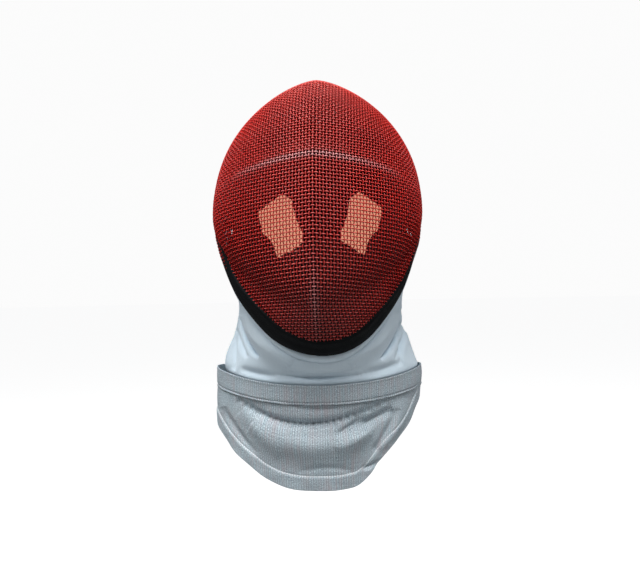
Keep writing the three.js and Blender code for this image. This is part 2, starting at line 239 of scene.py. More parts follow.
def shaped_ring(name, grid, run, across):
    """A primitive torus with its points moved to grid[along][round the section]. run and
    across are the lengths for its UV map, each with one more value where it closes."""
    along, around = grid.shape[:2]
    deselect()
    bpy.ops.mesh.primitive_torus_add(
        major_segments=along, minor_segments=around, major_radius=1, minor_radius=0.25,
        generate_uvs=False)
    obj = named(name)
    flat = read_points(obj) * MM
    major = np.arctan2(flat[:, 1], flat[:, 0]) / (2 * math.pi)
    minor = np.arctan2(flat[:, 2], np.hypot(flat[:, 0], flat[:, 1]) - 1) / (2 * math.pi)
    i = np.rint(major * along).astype(int) % along
    j = np.rint(minor * around).astype(int) % around
    write_points(obj, grid[i, j])
    corners = corner_points(obj)
    i, j = i[corners].reshape(-1, 4), j[corners].reshape(-1, 4)
    i = np.where((i.max(1) == along - 1)[:, None] & (i == 0), along, i)
    j = np.where((j.max(1) == around - 1)[:, None] & (j == 0), around, j)
    layer = obj.data.uv_layers.new(name="cloth")
    layer.data.foreach_set("uv", (np.stack([run[i], across[j]], -1) * MM).ravel())
    return obj


def set_crest(obj, values):
    """How high each point of the wire stands, from 0 to 1, for the enamel's painted highlight and
    painted shade.
    """
    layer = obj.data.attributes.new("crest", "FLOAT", "POINT")
    layer.data.foreach_set("value", np.broadcast_to(values, len(obj.data.vertices)).astype(np.float32))


def round_rod(name, line, radius):
    """A round rod with closed ends along points."""
    curve = bpy.data.curves.new(name, "CURVE")
    curve.dimensions = "3D"
    curve.bevel_depth = radius * MM
    curve.bevel_resolution = 2
    curve.use_fill_caps = True
    spline = curve.splines.new("POLY")
    spline.points.add(len(line) - 1)
    spline.points.foreach_set("co", np.column_stack([line * MM, np.ones(len(line))]).ravel())
    obj = bpy.data.objects.new(name, curve)
    bpy.context.scene.collection.objects.link(obj)
    activate(obj)
    bpy.ops.object.convert(target="MESH")
    return named(name)


def apply_modifier(obj, kind, **settings):
    activate(obj)
    modifier = obj.modifiers.new(kind.title(), kind)
    for key, value in settings.items():
        setattr(modifier, key, value)
    bpy.ops.object.modifier_apply(modifier=modifier.name)


def face_outwards(obj):
    activate(obj)
    bpy.ops.object.mode_set(mode="EDIT")
    bpy.ops.mesh.select_all(action="SELECT")
    bpy.ops.mesh.normals_make_consistent(inside=False)
    bpy.ops.object.mode_set(mode="OBJECT")


def finish_piece(obj, material, slot, *nodes):
    obj.data.materials.clear()
    obj.data.materials.append(material)
    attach(obj, "root")
    if nodes:
        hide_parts(*nodes)


# ---------------------------------------------------------------- materials
# heights and widths of the painted highlights and painted shade on the enamel
CREST_HIGHLIGHT_WIDTH = 52.0
SHADE_TOP, SHADE_BOTTOM = -150.0, -245.0
CREASE_DIP, CREASE_DIP_WIDTH = 4.7, 22.0
CREASE_REACH = 78.0
KEEL_HIGHLIGHT = {"half_width": 3.4, "height": -198.0, "half_length": 24.0}
STITCH_SHARE = 0.68
# depths down the silver panel: its hem's edge, the painted shadow line under the fold's seam, and the
# rows of stitches
LAME_BAND, LAME_SEAM, LAME_SEWN, LAME_HEM_SEWN = 17.6, 18.3, 16.4, 12.5
LAME_THREADS = 450.0


def new_group(name, inputs, outputs):
    tree = bpy.data.node_groups.new(name, "ShaderNodeTree")
    for label, kind, value in inputs:
        socket = tree.interface.new_socket(name=label, in_out="INPUT", socket_type=kind)
        if value is not None:
            socket.default_value = value
    for label, kind in outputs:
        tree.interface.new_socket(name=label, in_out="OUTPUT", socket_type=kind)
    return tree, tree.nodes.new("NodeGroupInput"), tree.nodes.new("NodeGroupOutput")


def add_node(tree, kind, **values):
    """A node whose settings and sockets are given by name. A socket takes a value or a link."""
    node = tree.nodes.new("ShaderNode" + kind)
    for key, value in values.items():
        if hasattr(node, key) and key not in node.inputs:
            setattr(node, key, value)
    for key, value in values.items():
        label = key.replace("_", " ")
        socket = node.inputs.get(label) or node.inputs.get(label.title())
        if socket is None or hasattr(node, key):
            continue
        feed(tree, socket, value)
    return node


def feed(tree, socket, value):
    if isinstance(value, bpy.types.NodeSocket):
        tree.links.new(value, socket)
    else:
        socket.default_value = value


def calc(tree, operation, a, b=0.0, c=0.0):
    node = tree.nodes.new("ShaderNodeMath")
    node.operation = operation
    for socket, value in zip(node.inputs, (a, b, c)):
        feed(tree, socket, value)
    return node.outputs[0]


def bell(tree, value):
    """A soft line: 1 where value is 0, and about a third where it is 1."""
    squared = calc(tree, "MULTIPLY", value, value)
    return calc(tree, "EXPONENT", calc(tree, "MULTIPLY", squared, -1.0))


def axes(tree, place):
    return add_node(tree, "SeparateXYZ", Vector=place).outputs


def blend_colours(tree, factor, low, high):
    node = tree.nodes.new("ShaderNodeMix")
    node.data_type = "RGBA"
    feed(tree, node.inputs["Factor"], factor)
    feed(tree, node.inputs[6], low)
    feed(tree, node.inputs[7], high)
    return node.outputs[2]


def make_thread_group():
    """Over-and-under threads: their height, each thread's own tone, and the warp's alone."""
    tree, given, out = new_group(
        "Woven threads",
        [("Vector", "NodeSocketVector", None), ("Threads across", "NodeSocketFloat", 1000.0),
         ("Threads along", "NodeSocketFloat", 1000.0), ("Slub", "NodeSocketFloat", 0.3)],
        [("Height", "NodeSocketFloat"), ("Tone", "NodeSocketFloat"), ("Warp", "NodeSocketFloat")],
    )
    place = axes(tree, given.outputs["Vector"])
    across = calc(tree, "MULTIPLY", place["X"], given.outputs["Threads across"])
    along = calc(tree, "MULTIPLY", place["Y"], given.outputs["Threads along"])
    up = calc(tree, "ABSOLUTE", calc(tree, "SINE", calc(tree, "MULTIPLY", across, math.pi)))
    side = calc(tree, "ABSOLUTE", calc(tree, "SINE", calc(tree, "MULTIPLY", along, math.pi)))
    turn = calc(tree, "ADD", calc(tree, "FLOOR", across), calc(tree, "FLOOR", along))
    over = calc(tree, "ABSOLUTE", calc(tree, "MODULO", turn, 2.0))
    height = tree.nodes.new("ShaderNodeMix")
    feed(tree, height.inputs["Factor"], over)
    feed(tree, height.inputs[2], up)
    feed(tree, height.inputs[3], side)
    warp_place = tree.nodes.new("ShaderNodeCombineXYZ")
    feed(tree, warp_place.inputs[0], calc(tree, "FLOOR", across))
    feed(tree, warp_place.inputs[1], calc(tree, "MULTIPLY", along, 0.02))
    warp = add_node(tree, "TexNoise", Vector=warp_place.outputs[0], Scale=1.7, Detail=2.0)
    weft_place = tree.nodes.new("ShaderNodeCombineXYZ")
    feed(tree, weft_place.inputs[0], calc(tree, "MULTIPLY", across, 0.02))
    feed(tree, weft_place.inputs[1], calc(tree, "FLOOR", along))
    weft = add_node(tree, "TexNoise", Vector=weft_place.outputs[0], Scale=1.7, Detail=2.0)
    both = calc(tree, "ADD", warp.outputs["Fac"], weft.outputs["Fac"])
    tone = calc(tree, "MULTIPLY_ADD", calc(tree, "SUBTRACT", both, 1.0), given.outputs["Slub"], 0.5)
    feed(tree, out.inputs["Height"], height.outputs[0])
    feed(tree, out.inputs["Tone"], tone)
    feed(tree, out.inputs["Warp"], warp.outputs["Fac"])
    return tree


def make_cloud_group():
    """Soft patches, for dust, fading and uneven dye."""
    tree, given, out = new_group(
        "Soft patches",
        [("Vector", "NodeSocketVector", None), ("Size", "NodeSocketFloat", 20.0),
         ("Contrast", "NodeSocketFloat", 1.0)],
        [("Mask", "NodeSocketFloat")],
    )
    scale = calc(tree, "DIVIDE", 1.0, calc(tree, "MULTIPLY", given.outputs["Size"], MM))
    noise = add_node(tree, "TexNoise", Vector=given.outputs["Vector"], Scale=scale, Detail=3.0)
    centred = calc(tree, "SUBTRACT", noise.outputs["Fac"], 0.5)
    mask = calc(tree, "MULTIPLY_ADD", centred, given.outputs["Contrast"], 0.5)
    node = tree.nodes.new("ShaderNodeClamp")
    feed(tree, node.inputs["Value"], mask)
    feed(tree, out.inputs["Mask"], node.outputs[0])
    return tree


def make_stitch_group():
    """A row of stitches along a line at a given height of the cloth's map."""
    tree, given, out = new_group(
        "Stitch row",
        [("Vector", "NodeSocketVector", None), ("At", "NodeSocketFloat", 17.0),
         ("Width", "NodeSocketFloat", 0.5), ("Length", "NodeSocketFloat", 2.6)],
        [("Mask", "NodeSocketFloat")],
    )
    place = axes(tree, given.outputs["Vector"])
    down = calc(tree, "DIVIDE", place["Y"], MM)
    gap = calc(tree, "ABSOLUTE", calc(tree, "SUBTRACT", down, given.outputs["At"]))
    line = calc(tree, "LESS_THAN", gap, given.outputs["Width"])
    along = calc(tree, "DIVIDE", calc(tree, "DIVIDE", place["X"], MM), given.outputs["Length"])
    dash = calc(tree, "LESS_THAN", calc(tree, "FRACT", along), STITCH_SHARE)
    feed(tree, out.inputs["Mask"], calc(tree, "MULTIPLY", line, dash))
    return tree


def make_crease_group():
    """The bowl's proud lines, masks for the enamel's painted highlight: the crease over the brow, and
    the keel down the lower face.
    """
    tree, given, out = new_group(
        "Crease line",
        [("Vector", "NodeSocketVector", None), ("Half width", "NodeSocketFloat", 2.4)],
        [("Crease", "NodeSocketFloat"), ("Keel", "NodeSocketFloat")],
    )
    place = axes(tree, given.outputs["Vector"])
    ahead = calc(tree, "SUBTRACT", BOWL_CENTRE_Y * MM, place["Y"])
    above = calc(tree, "SUBTRACT", place["Z"], BOWL_CENTRE_Z * MM)
    front = calc(tree, "GREATER_THAN", ahead, 0.0)
    aside = calc(tree, "ABSOLUTE", place["X"])
    turn = math.radians(CREASE["angle"])
    off = calc(tree, "SUBTRACT", calc(tree, "MULTIPLY", above, math.cos(turn)),
               calc(tree, "MULTIPLY", ahead, math.sin(turn)))
    dip = calc(tree, "EXPONENT", calc(tree, "DIVIDE", aside, -CREASE_DIP_WIDTH * MM))
    off = calc(tree, "MULTIPLY_ADD", dip, CREASE_DIP, calc(tree, "DIVIDE", off, MM))
    line = bell(tree, calc(tree, "DIVIDE", off, given.outputs["Half width"]))
    fade = calc(tree, "POWER", calc(tree, "DIVIDE", aside, CREASE_REACH * MM), 2.0)
    fade = calc(tree, "MAXIMUM", calc(tree, "SUBTRACT", 1.0, fade), 0.0)
    crease = calc(tree, "MULTIPLY", calc(tree, "MULTIPLY", line, fade), front)
    feed(tree, out.inputs["Crease"], crease)
    line = bell(tree, calc(tree, "DIVIDE", place["X"], KEEL_HIGHLIGHT["half_width"] * MM))
    height = calc(tree, "SUBTRACT", place["Z"], KEEL_HIGHLIGHT["height"] * MM)
    fade = bell(tree, calc(tree, "DIVIDE", height, KEEL_HIGHLIGHT["half_length"] * MM))
    keel = calc(tree, "MULTIPLY", calc(tree, "MULTIPLY", line, fade), front)
    feed(tree, out.inputs["Keel"], keel)
    return tree


THREADS = make_thread_group()
PATCHES = make_cloud_group()
STITCHES = make_stitch_group()
CREASE_LINE = make_crease_group()


def use_group(tree, group, **values):
    node = tree.nodes.new("ShaderNodeGroup")
    node.node_tree = group
    for key, value in values.items():
        feed(tree, node.inputs[key.replace("_", " ")], value)
    return node


def new_material(name, **sockets):
    material = bpy.data.materials.new(name)
    material.use_nodes = True
    tree = material.node_tree
    shader = tree.nodes["Principled BSDF"]
    for key, value in sockets.items():
        shader.inputs[key.replace("_", " ")].default_value = value
    return material, tree, shader


def object_place(tree):
    return tree.nodes.new("ShaderNodeTexCoord").outputs["Object"]


def cloth_place(tree, label="cloth"):
    node = tree.nodes.new("ShaderNodeUVMap")
    node.uv_map = label
    return node.outputs["UV"]


def bump(tree, shader, height, strength, distance):
    node = tree.nodes.new("ShaderNodeBump")
    feed(tree, node.inputs["Height"], height)
    node.inputs["Strength"].default_value = strength
    node.inputs["Distance"].default_value = distance
    tree.links.new(node.outputs["Normal"], shader.inputs["Normal"])


def enamel_material():
    """Red enamel, with painted shade on the wires' inner and under sides and towards the chin, and
    painted highlights on the high crossings, the crease and the keel.
    """
    material, tree, shader = new_material(
        "red_enamel", Specular_IOR_Level=0.10, Coat_Weight=0.08, Coat_Roughness=0.12)
    place = object_place(tree)
    patches = use_group(tree, PATCHES, Vector=place, Size=24.0, Contrast=2.2)
    grain = use_group(tree, PATCHES, Vector=place, Size=1.4, Contrast=2.6)
    crease = use_group(tree, CREASE_LINE, Vector=place, Half_width=3.2)
    red = blend_colours(tree, patches.outputs["Mask"], (0.66, 0.005, 0.003, 1), (0.92, 0.016, 0.006, 1))
    crest = tree.nodes.new("ShaderNodeAttribute")
    crest.attribute_name = "crest"
    high = calc(tree, "POWER", crest.outputs["Fac"], 2.2)
    apart = axes(tree, place)
    # painted shade: the enamel is darkened from SHADE_TOP down to SHADE_BOTTOM, towards the chin
    low = tree.nodes.new("ShaderNodeMapRange")
    feed(tree, low.inputs["Value"], apart["Z"])
    low.inputs["From Min"].default_value = SHADE_TOP * MM
    low.inputs["From Max"].default_value = SHADE_BOTTOM * MM
    red = blend_colours(tree, calc(tree, "MULTIPLY", low.outputs[0], 0.6), red, (0.16, 0.002, 0.001, 1))
    # painted shade: the inner sides of the wires and the crossings that lie under are darkened
    red = blend_colours(tree, calc(tree, "SUBTRACT", 1.0, high), red, (0.17, 0.0010, 0.0008, 1))
    # painted highlight: the outward sides of high crossings are blended to pink, most in the middle of
    # the face
    crest_highlight = calc(tree, "MULTIPLY", calc(tree, "POWER", high, 2.0),
                  calc(tree, "MULTIPLY_ADD", grain.outputs["Mask"], 0.35, 0.36))
    middle = bell(tree, calc(tree, "DIVIDE", apart["X"], CREST_HIGHLIGHT_WIDTH * MM))
    crest_highlight = calc(tree, "MULTIPLY", crest_highlight, calc(tree, "MULTIPLY_ADD", middle, 0.75, 0.25))
    red = blend_colours(tree, crest_highlight, red, (0.98, 0.44, 0.40, 1))
    # painted highlight: pale pink along the crease over the brow and down the keel, on the high parts of
    # the wires
    crease_and_keel_highlight = calc(tree, "MULTIPLY", crease.outputs["Crease"], calc(tree, "MULTIPLY_ADD", high, 0.95, 0.05))
    keel = calc(tree, "MULTIPLY", crease.outputs["Keel"], calc(tree, "MULTIPLY", high, 0.62))
    crease_and_keel_highlight = calc(tree, "MAXIMUM", crease_and_keel_highlight, keel)
    feed(tree, shader.inputs["Base Color"], blend_colours(tree, crease_and_keel_highlight, red, (0.86, 0.55, 0.55, 1)))
    rough = calc(tree, "MULTIPLY_ADD", grain.outputs["Mask"], 0.16, 0.28)
    feed(tree, shader.inputs["Roughness"], rough)
    bump(tree, shader, grain.outputs["Mask"], 0.25, 0.0001)
    return material


def trim_material():
    """Black rubbery binding with a fine weave, a little uneven."""
    material, tree, shader = new_material("black_binding", Specular_IOR_Level=0.08)
    place = cloth_place(tree)
    threads = use_group(
        tree, THREADS, Vector=place, Threads_across=1400.0, Threads_along=1400.0, Slub=0.5)
    patches = use_group(tree, PATCHES, Vector=object_place(tree), Size=12.0, Contrast=2.0)
    tone = calc(tree, "MULTIPLY", threads.outputs["Tone"], patches.outputs["Mask"])
    black = blend_colours(tree, tone, (0.0020, 0.0026, 0.0030, 1), (0.007, 0.0085, 0.010, 1))
    feed(tree, shader.inputs["Base Color"], black)
    feed(tree, shader.inputs["Roughness"], calc(tree, "MULTIPLY_ADD", patches.outputs["Mask"], 0.2, 0.5))
    bump(tree, shader, threads.outputs["Height"], 0.35, 0.0002)
    return material


def padding_material():
    """Matt black brushed lining cloth."""
    material, tree, shader = new_material("black_lining", Specular_IOR_Level=0.15)
    place = object_place(tree)
    nap = use_group(tree, PATCHES, Vector=place, Size=0.9, Contrast=2.5)
    patches = use_group(tree, PATCHES, Vector=place, Size=30.0, Contrast=2.0)
    tone = calc(tree, "MULTIPLY", patches.outputs["Mask"], 0.4)
    tone = calc(tree, "MULTIPLY_ADD", nap.outputs["Mask"], 0.5, tone)
    black = blend_colours(tree, tone, (0.003, 0.003, 0.0035, 1), (0.014, 0.013, 0.014, 1))
    feed(tree, shader.inputs["Base Color"], black)
    feed(tree, shader.inputs["Roughness"], calc(tree, "MULTIPLY_ADD", nap.outputs["Mask"], 0.15, 0.8))
    bump(tree, shader, nap.outputs["Mask"], 0.5, 0.0003)
    return material


def bib_material():
    """Bluish white close-woven cloth, faintly uneven, stitched below its rolled top."""
    material, tree, shader = new_material("white_bib_cloth", Sheen_Weight=0.15, Sheen_Roughness=0.5)
    place = cloth_place(tree)
    threads = use_group(
        tree, THREADS, Vector=place, Threads_across=1500.0, Threads_along=1500.0, Slub=0.6)
    patches = use_group(tree, PATCHES, Vector=object_place(tree), Size=35.0, Contrast=2.0)
    stitches = use_group(tree, STITCHES, Vector=place, At=10.0, Width=0.45, Length=2.2)
    tone = calc(tree, "MULTIPLY", patches.outputs["Mask"], 0.4)
    tone = calc(tree, "MULTIPLY_ADD", threads.outputs["Tone"], 0.6, tone)
    white = blend_colours(tree, tone, (0.60, 0.735, 0.835, 1), (0.76, 0.88, 0.96, 1))
    sewn = calc(tree, "MULTIPLY", stitches.outputs["Mask"], 0.3)
    feed(tree, shader.inputs["Base Color"], blend_colours(tree, sewn, white, (0.30, 0.36, 0.42, 1)))
    rough = calc(tree, "MULTIPLY_ADD", patches.outputs["Mask"], 0.1, 0.82)
    feed(tree, shader.inputs["Roughness"], rough)
    bump(tree, shader, threads.outputs["Height"], 0.4, 0.00025)
    return material


def lame_material():
    """Silver lame: fine metal threads that run down, with specks of uneven tone whose brightest are
    painted glints, a painted shadow line under the top hem, and pale stitching.
    """
    material, tree, shader = new_material("silver_lame_cloth", Specular_IOR_Level=0.3)
    place = cloth_place(tree)
    threads = use_group(tree, THREADS, Vector=place, Threads_across=620.0, Threads_along=900.0, Slub=1.0)
    drawn = tree.nodes.new("ShaderNodeVectorMath")
    drawn.operation = "MULTIPLY"
    feed(tree, drawn.inputs[0], place)
    drawn.inputs[1].default_value = (1.0, 0.55, 1.0)
    # specks: uneven tone of the threads, their brightest ones painted as glints
    speck = use_group(tree, PATCHES, Vector=drawn.outputs[0], Size=0.5, Contrast=6.0)
    patches = use_group(tree, PATCHES, Vector=object_place(tree), Size=26.0, Contrast=2.0)
    top_row = use_group(tree, STITCHES, Vector=place, At=LAME_SEWN, Width=0.5, Length=2.4)
    from_hem = cloth_place(tree, "hem")
    hem_row = use_group(tree, STITCHES, Vector=from_hem, At=LAME_HEM_SEWN, Width=0.4, Length=2.4)
    tone = calc(tree, "MULTIPLY", speck.outputs["Mask"], 0.7)
    tone = calc(tree, "MULTIPLY_ADD", threads.outputs["Tone"], 0.3, tone)
    silver = blend_colours(tree, tone, (0.15, 0.215, 0.285, 1), (0.84, 0.97, 1.0, 1))
    spread = axes(tree, place)
    thread = calc(tree, "FRACT", calc(tree, "MULTIPLY", spread["X"], LAME_THREADS))
    gap = calc(tree, "MULTIPLY", calc(tree, "LESS_THAN", thread, 0.40), 0.30)
    silver = blend_colours(tree, gap, silver, (0.09, 0.11, 0.14, 1))
    streak = calc(tree, "MULTIPLY_ADD", threads.outputs["Warp"], 2.4, -1.0)
    streak = calc(tree, "MINIMUM", calc(tree, "MAXIMUM", streak, 0.0), 0.5)
    streak = calc(tree, "MULTIPLY", streak, patches.outputs["Mask"])
    warm = blend_colours(tree, streak, silver, (0.40, 0.28, 0.30, 1))
    band = calc(tree, "MULTIPLY", calc(tree, "LESS_THAN", spread["Y"], LAME_BAND * MM), 0.06)
    warm = blend_colours(tree, band, warm, (0.12, 0.15, 0.18, 1))
    # painted shadow: a dark line just under the top hem's fold, where its step would cast shade
    off_seam = calc(tree, "ABSOLUTE", calc(tree, "SUBTRACT", spread["Y"], LAME_SEAM * MM))
    seam = calc(tree, "MULTIPLY", calc(tree, "LESS_THAN", off_seam, 0.45 * MM), 0.6)
    warm = blend_colours(tree, seam, warm, (0.05, 0.055, 0.06, 1))
    sewn = calc(tree, "MAXIMUM", top_row.outputs["Mask"], hem_row.outputs["Mask"])
    sewn = calc(tree, "MULTIPLY", sewn, 0.8)
    feed(tree, shader.inputs["Base Color"], blend_colours(tree, sewn, warm, (0.85, 0.87, 0.88, 1)))
    feed(tree, shader.inputs["Metallic"], calc(tree, "MULTIPLY_ADD", speck.outputs["Mask"], 0.18, 0.06))
    rough = calc(tree, "MULTIPLY_ADD", speck.outputs["Mask"], -0.12, 0.74)
    feed(tree, shader.inputs["Roughness"], rough)
    bump(tree, shader, threads.outputs["Height"], 0.5, 0.0003)
    return material


def floor_material():
    """Pale floor that looks as bright far off as it does near the lights."""
    material, tree, shader = new_material("pale_floor", Roughness=0.9, Specular_IOR_Level=0.1)
    patches = use_group(tree, PATCHES, Vector=object_place(tree), Size=400.0, Contrast=1.0)
    pale = blend_colours(tree, patches.outputs["Mask"], (0.36, 0.36, 0.36, 1), (0.38, 0.38, 0.38, 1))
    feed(tree, shader.inputs["Base Color"], pale)
    path = tree.nodes.new("ShaderNodeLightPath")
    glow = blend_colours(tree, path.outputs["Is Camera Ray"], (0, 0, 0, 1), (0.92, 0.92, 0.92, 1))
    feed(tree, shader.inputs["Emission Color"], glow)
    shader.inputs["Emission Strength"].default_value = 1
    return material


ENAMEL = enamel_material()
BINDING = trim_material()
LINING = padding_material()
WHITE_CLOTH = bib_material()
LAME = lame_material()


# ---------------------------------------------------------------- camera, floor and light
CAMERA_DISTANCE = 640.0
NOSE_Y = -118.0
HORIZON_Z = -190.0
CAMERA_AZIMUTH = 2.2
CAMERA_ROLL = 1.13
CAMERA_LENS = 43.64
CAMERA_SHIFT = (0.0008, 0.0133)
FLOOR_Z = -620.0
FLOOR_RADIUS = 30000.0
# middle of the mask, which the lights face, in metres as the lights' own places are
LIT_MIDDLE = (0, 0, -0.16)
# the warm patch of the room behind the mask: degrees up, and radius in radians
PATCH_HEIGHT = 4.9
PATCH_RADIUS = 0.098


def make_camera():
    data = bpy.data.cameras.new("camera")
    camera = bpy.data.objects.new("camera", data)
    bpy.context.scene.collection.objects.link(camera)
    turn = math.radians(CAMERA_AZIMUTH)
    reach = (CAMERA_DISTANCE - NOSE_Y) * MM
    camera.location = (reach * math.sin(turn), -reach * math.cos(turn), HORIZON_Z * MM)
    camera.rotation_euler = (math.pi / 2, math.radians(CAMERA_ROLL), turn)
    data.lens = CAMERA_LENS
    data.shift_x, data.shift_y = CAMERA_SHIFT
    data.clip_start = 0.01
    data.clip_end = 50
    bpy.context.scene.camera = camera


def area_light(name, place, size, power):
    """A soft white light that faces the middle of the mask."""
    data = bpy.data.lights.new(name, "AREA")
    data.shape = "RECTANGLE"
    data.size, data.size_y = size
    data.energy = power
    light = bpy.data.objects.new(name, data)
    bpy.context.scene.collection.objects.link(light)
    light.location = place
    light.rotation_euler = (Vector(LIT_MIDDLE) - Vector(place)).to_track_quat("-Z", "Y").to_euler()


def make_stage():
    bpy.ops.mesh.primitive_circle_add(
        vertices=96, radius=FLOOR_RADIUS * MM, fill_type="NGON", location=(0, 0, FLOOR_Z * MM))
    floor = bpy.context.object
    floor.name = "floor"
    floor.data.materials.append(floor_material())
    area_light("overhead_softbox", (-0.1, -0.5, 1.15), size=(1.1, 0.6), power=30)
    area_light("strip_softbox", (-0.1, -1.05, 0.85), size=(1.2, 0.2), power=8)
    area_light("left_fill", (-1.3, 0.15, 0.65), size=(0.8, 0.8), power=7)
    area_light("right_fill", (1.3, 0.15, 0.65), size=(0.8, 0.8), power=6)
    make_room()
    bpy.context.scene.view_settings.view_transform = "Standard"


def make_room():
    """Near-white surroundings, with a soft warm patch straight behind the mask."""
    world = bpy.data.worlds.new("pale_room")
    bpy.context.scene.world = world
    world.use_nodes = True
    tree = world.node_tree
    way = axes(tree, tree.nodes.new("ShaderNodeTexCoord").outputs["Generated"])
    across = calc(tree, "ADD", way["X"], math.sin(math.radians(CAMERA_AZIMUTH)))
    above = calc(tree, "SUBTRACT", way["Z"], math.radians(PATCH_HEIGHT))
    reach = calc(tree, "MULTIPLY_ADD", across, across, calc(tree, "MULTIPLY", above, above))
    near = calc(tree, "LESS_THAN", calc(tree, "SQRT", reach), PATCH_RADIUS)
    patch = calc(tree, "MULTIPLY", near, calc(tree, "GREATER_THAN", way["Y"], 0.0))
    pale = blend_colours(tree, patch, (0.97, 0.97, 0.97, 1), (0.72, 0.31, 0.20, 1))
    seen = tree.nodes["Background"]
    feed(tree, seen.inputs["Color"], pale)
    lit = tree.nodes.new("ShaderNodeBackground")
    lit.inputs["Color"].default_value = (0.92, 0.95, 1.0, 1)
    lit.inputs["Strength"].default_value = 0.10
    path = tree.nodes.new("ShaderNodeLightPath")
    mix = tree.nodes.new("ShaderNodeMixShader")
    tree.links.new(path.outputs["Is Camera Ray"], mix.inputs[0])
    tree.links.new(lit.outputs[0], mix.inputs[1])
    tree.links.new(seen.outputs[0], mix.inputs[2])
    tree.links.new(mix.outputs[0], tree.nodes["World Output"].inputs["Surface"])


# ---------------------------------------------------------------- woven wire
def woven_net(anchors, directions, side_count, reach=260.0, step=0.4):
    """Crossings of a woven panel: rows in planes across the bowl, each an anchor on the
    keel and a side-view direction, with crossings COLUMN_PITCH apart from the keel out."""
    along = np.arange(0, reach, step)
    y = anchors[:, 0:1] + directions[:, 0:1] * along
    z = anchors[:, 1:2] + directions[:, 1:2] * along
    x = half_width(y, z)
    x[:, 0] = 0
    lost = np.maximum.accumulate(x < 0, axis=1)
    x = np.where(lost, 0, x)
    run = np.cumsum(np.hypot(np.diff(x, axis=1), step), axis=1)
    run = np.concatenate([np.zeros((len(anchors), 1)), run], axis=1)
    wanted = np.arange(side_count + 1) * COLUMN_PITCH
    net = np.empty((len(anchors), side_count + 1, 3))
    for i in range(len(anchors)):
        limit = run[i][~lost[i]][-1]
        at = np.interp(wanted, run[i], along)
        net[i, :, 0] = np.interp(wanted, run[i], x[i])
        net[i, :, 1] = anchors[i, 0] + directions[i, 0] * at
        net[i, :, 2] = anchors[i, 1] + directions[i, 1] * at
        net[i, wanted > limit] = np.nan
    left = net[:, :0:-1] * (-1, 1, 1)
    return np.concatenate([left, net], axis=1)


def net_normals(net):
    """Outward normals at the crossings, from each one's neighbours."""
    def slope(axis):
        before, after = np.roll(net, 1, axis), np.roll(net, -1, axis)
        before = np.where(np.isnan(before), net, before)
        after = np.where(np.isnan(after), net, after)
        return after - before
    across, down = slope(1), slope(0)
    across[:, 0], across[:, -1] = across[:, 1], across[:, -2]
    down[0], down[-1] = down[1], down[-2]
    normal = np.cross(across, down)
    normal /= np.linalg.norm(normal, axis=-1, keepdims=True) + 1e-12
    out = net - np.array([0, BOWL_CENTRE_Y, BOWL_CENTRE_Z])
    return normal * np.sign((normal * out).sum(-1, keepdims=True))


def cut_at_seam(inside, outside):
    """The point on the seam's plane between two crossings."""
    share = (SEAM_Y - inside[1]) / (outside[1] - inside[1])
    return inside + (outside - inside) * np.clip(share, 0, 1)


def wire_runs(net, normal, keep, rises):
    """Each wire as rings: centres, normals and whether it lies over, from 0 to 1. net[i]
    runs along wire i, which lies over where (i + j + rises) is even. Ends at the seam are
    carried on to it."""
    for i in range(net.shape[0]):
        marks = np.flatnonzero(keep[i])
        if len(marks) < 2:
            continue
        for part in np.split(marks, np.flatnonzero(np.diff(marks) > 1) + 1):
            if len(part) < 2:
                continue
            lift = np.where((i + part + rises) % 2 == 0, CRIMP, -CRIMP)[:, None]
            middle = net[i, part]
            centre = middle + lift * normal[i, part]
            step = np.gradient(middle, axis=0)
            rings = np.stack([centre - 0.2 * step, centre + 0.2 * step], 1).reshape(-1, 3)
            facing = np.repeat(normal[i, part], 2, axis=0)
            over = np.repeat(lift[:, 0] > 0, 2).astype(float)
            for end, nxt, row in ((part[0], part[0] - 1, 0), (part[-1], part[-1] + 1, -1)):
                if 0 <= nxt < net.shape[1] and not np.isnan(net[i, nxt, 0]):
                    beyond = (net[i, nxt, 1] - SEAM_Y) * (net[i, end, 1] - SEAM_Y) < 0
                    if beyond:
                        tip = cut_at_seam(net[i, end], net[i, nxt])
                        if row == 0:
                            rings, facing = np.vstack([tip, rings]), np.vstack([normal[i, end], facing])
                            over = np.concatenate([[0.5], over])
                        else:
                            rings, facing = np.vstack([rings, tip]), np.vstack([facing, normal[i, end]])
                            over = np.concatenate([over, [0.5]])
            yield rings, facing, over


